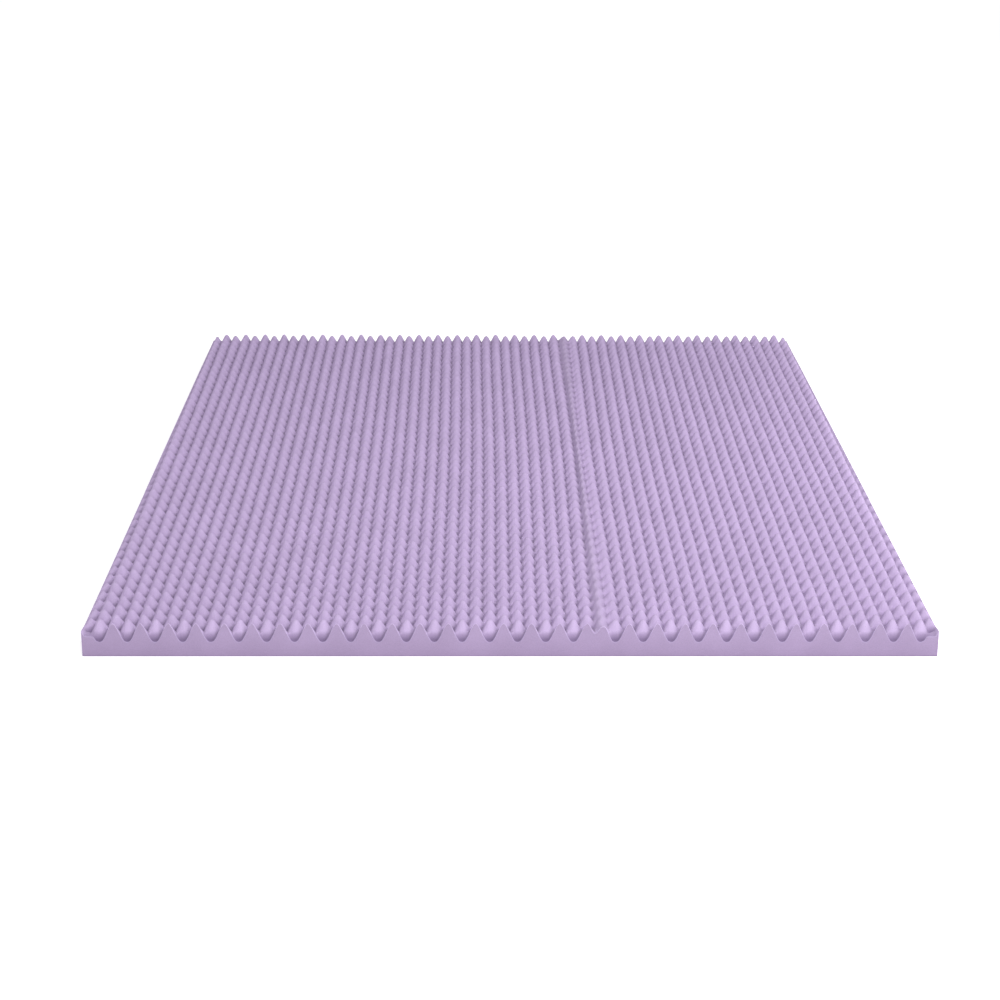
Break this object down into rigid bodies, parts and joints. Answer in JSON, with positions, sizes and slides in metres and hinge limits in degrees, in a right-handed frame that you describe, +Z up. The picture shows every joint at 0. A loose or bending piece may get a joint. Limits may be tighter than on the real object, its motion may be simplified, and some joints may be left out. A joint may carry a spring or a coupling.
{
  "type": "mattress topper",
  "caption": "Flat rectangular foam mattress topper with a smooth underside and a convoluted egg-crate top.",
  "frame": {"origin": "middle of the flat underside, on the surface it lies on", "axes": "+X across the bed, +Y along the bed away from the front cut, +Z up out of the egg-crate side"},
  "size_m": [1.524, 2.032, 0.0635],
  "materials": {
    "foam": "matt open-cell lavender foam, cut faces"
  },
  "bodies": {
    "root": {"foam_slab": "foam"}
  },
  "joints": []
}
